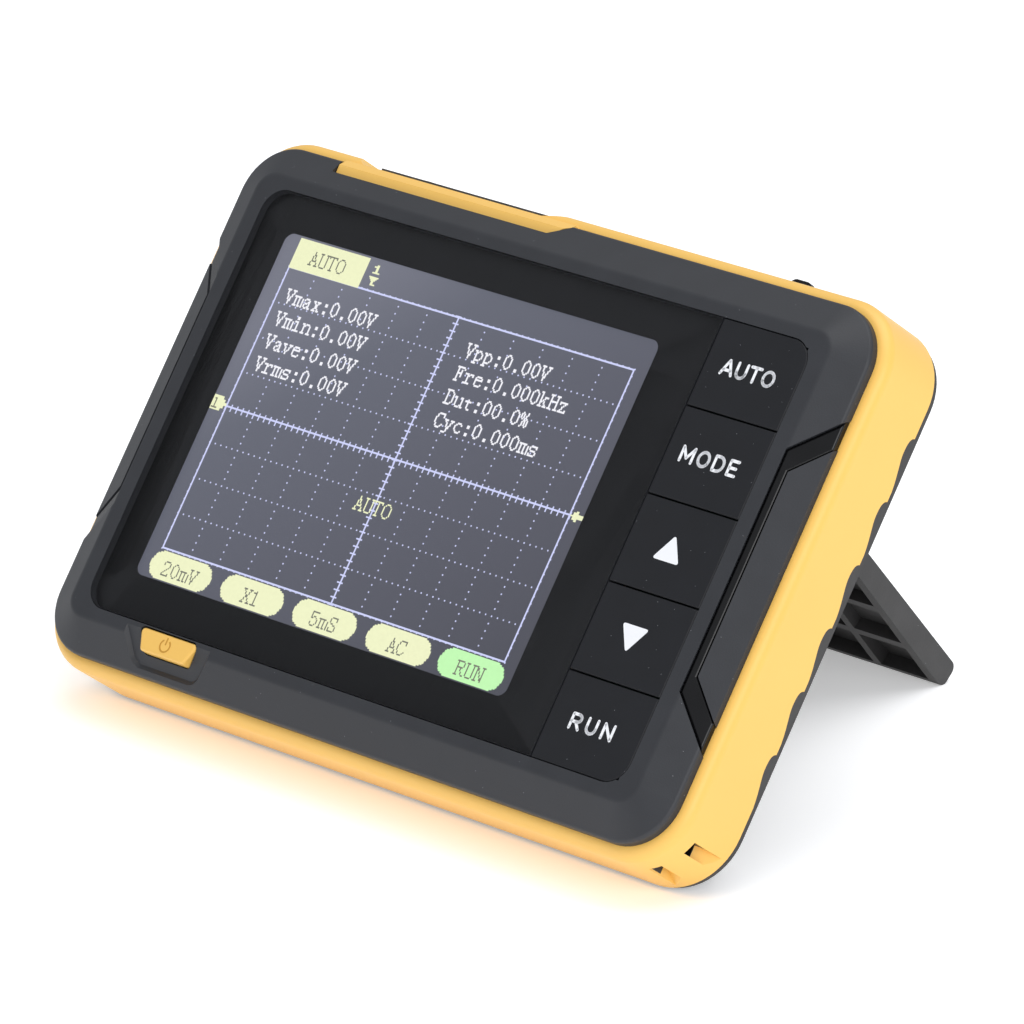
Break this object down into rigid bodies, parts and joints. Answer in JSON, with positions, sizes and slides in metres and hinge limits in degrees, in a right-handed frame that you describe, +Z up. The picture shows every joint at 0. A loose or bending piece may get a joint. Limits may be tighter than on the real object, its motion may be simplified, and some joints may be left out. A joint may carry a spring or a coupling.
{
  "type": "pocket oscilloscope",
  "caption": "Pocket digital oscilloscope with a yellow band, a lit screen, a column of keys, probe and charging sockets along the top and a flip-out kickstand.",
  "frame": {"origin": "on the ground under the middle of the object as it stands on its kickstand", "axes": "+X to the right along the case's width, the screen faces -Y and leans back, +Z up"},
  "size_m": [0.099, 0.0772, 0.0598],
  "materials": {
    "bezel_black": "fine-grained matt ABS",
    "cover_black": "fine-grained matt ABS",
    "band_yellow": "satin ABS",
    "trim_gloss": "polished",
    "window_clear": "clear acrylic with a satin hard coat",
    "border_black": "printed film",
    "foam_black": "foam tape",
    "display_face": "lit display",
    "display_back": "white moulded frame",
    "flex_amber": "polyimide",
    "board_green": "solder mask",
    "chip_black": "moulded epoxy",
    "relay_white": "moulded",
    "ferrite": "ferrite",
    "plated_steel": "nickel plated",
    "ceramic_tan": "chip ceramic",
    "gold_brass": "gold plated",
    "cell_silver": "foil pouch",
    "lead_red": "insulated wire",
    "key_black": "fine-grained matt",
    "switch_body": "moulded",
    "plunger_black": "moulded",
    "screw_steel": "blackened"
  },
  "bodies": {
    "case": {"amplifier_chip": "chip_black", "battery": "cell_silver", "battery_lead": "lead_red", "battery_pad": "foam_black", "battery_plug": "relay_white", "case_screws": "screw_steel", "charger_chip": "chip_black", "converter_chip": "chip_black", "coupling_relay": "relay_white", "crystal": "plated_steel", "display_pads": "foam_black", "flex_socket": "relay_white", "front_bezel": "bezel_black", "hinge_pin": "screw_steel", "lcd_backlight": "display_back", "lcd_flex": "flex_amber", "lcd_panel": "display_face", "left_trim": "trim_gloss", "main_board": "board_green", "mid_frame": "band_yellow", "passives": "ceramic_tan", "power_inductor": "ferrite", "probe_contact": "gold_brass", "probe_insulator": "relay_white", "probe_socket": "gold_brass", "processor_chip": "chip_black", "rear_cover": "cover_black", "right_trim": "trim_gloss", "screen_window": "window_clear", "switch_auto": "switch_body", "switch_down": "switch_body", "switch_mode": "switch_body", "switch_power": "switch_body", "switch_run": "switch_body", "switch_up": "switch_body", "test_terminal": "plated_steel", "usb_socket": "plated_steel", "usb_tongue": "chip_black", "window_adhesive": "foam_black", "window_border": "border_black"},
    "kickstand": {"kickstand": "cover_black"},
    "key_auto": {"key_auto": "key_black", "plunger_auto": "plunger_black"},
    "key_mode": {"key_mode": "key_black", "plunger_mode": "plunger_black"},
    "key_up": {"key_up": "key_black", "plunger_up": "plunger_black"},
    "key_down": {"key_down": "key_black", "plunger_down": "plunger_black"},
    "key_run": {"key_run": "key_black", "plunger_run": "plunger_black"},
    "power": {"power_button": "band_yellow", "plunger_power": "plunger_black"}
  },
  "joints": [
    {"name": "stand_hinge", "type": "hinge", "parent": "case", "child": "kickstand", "pos_m": [0, 0.00467, 0.03943], "axis": [1, 0, 0], "range_deg": [-77.5, 0]},
    {"name": "auto_press", "type": "slide", "parent": "case", "child": "key_auto", "axis": [0, 0.8006, -0.5992], "range_m": [0, 0.0003], "stiffness_N_per_m": 1500},
    {"name": "mode_press", "type": "slide", "parent": "case", "child": "key_mode", "axis": [0, 0.8006, -0.5992], "range_m": [0, 0.0003], "stiffness_N_per_m": 1500},
    {"name": "up_press", "type": "slide", "parent": "case", "child": "key_up", "axis": [0, 0.8006, -0.5992], "range_m": [0, 0.0003], "stiffness_N_per_m": 1500},
    {"name": "down_press", "type": "slide", "parent": "case", "child": "key_down", "axis": [0, 0.8006, -0.5992], "range_m": [0, 0.0003], "stiffness_N_per_m": 1500},
    {"name": "run_press", "type": "slide", "parent": "case", "child": "key_run", "axis": [0, 0.8006, -0.5992], "range_m": [0, 0.0003], "stiffness_N_per_m": 1500},
    {"name": "power_press", "type": "slide", "parent": "case", "child": "power", "axis": [0, 0.8006, -0.5992], "range_m": [0, 0.0003], "stiffness_N_per_m": 1500}
  ]
}
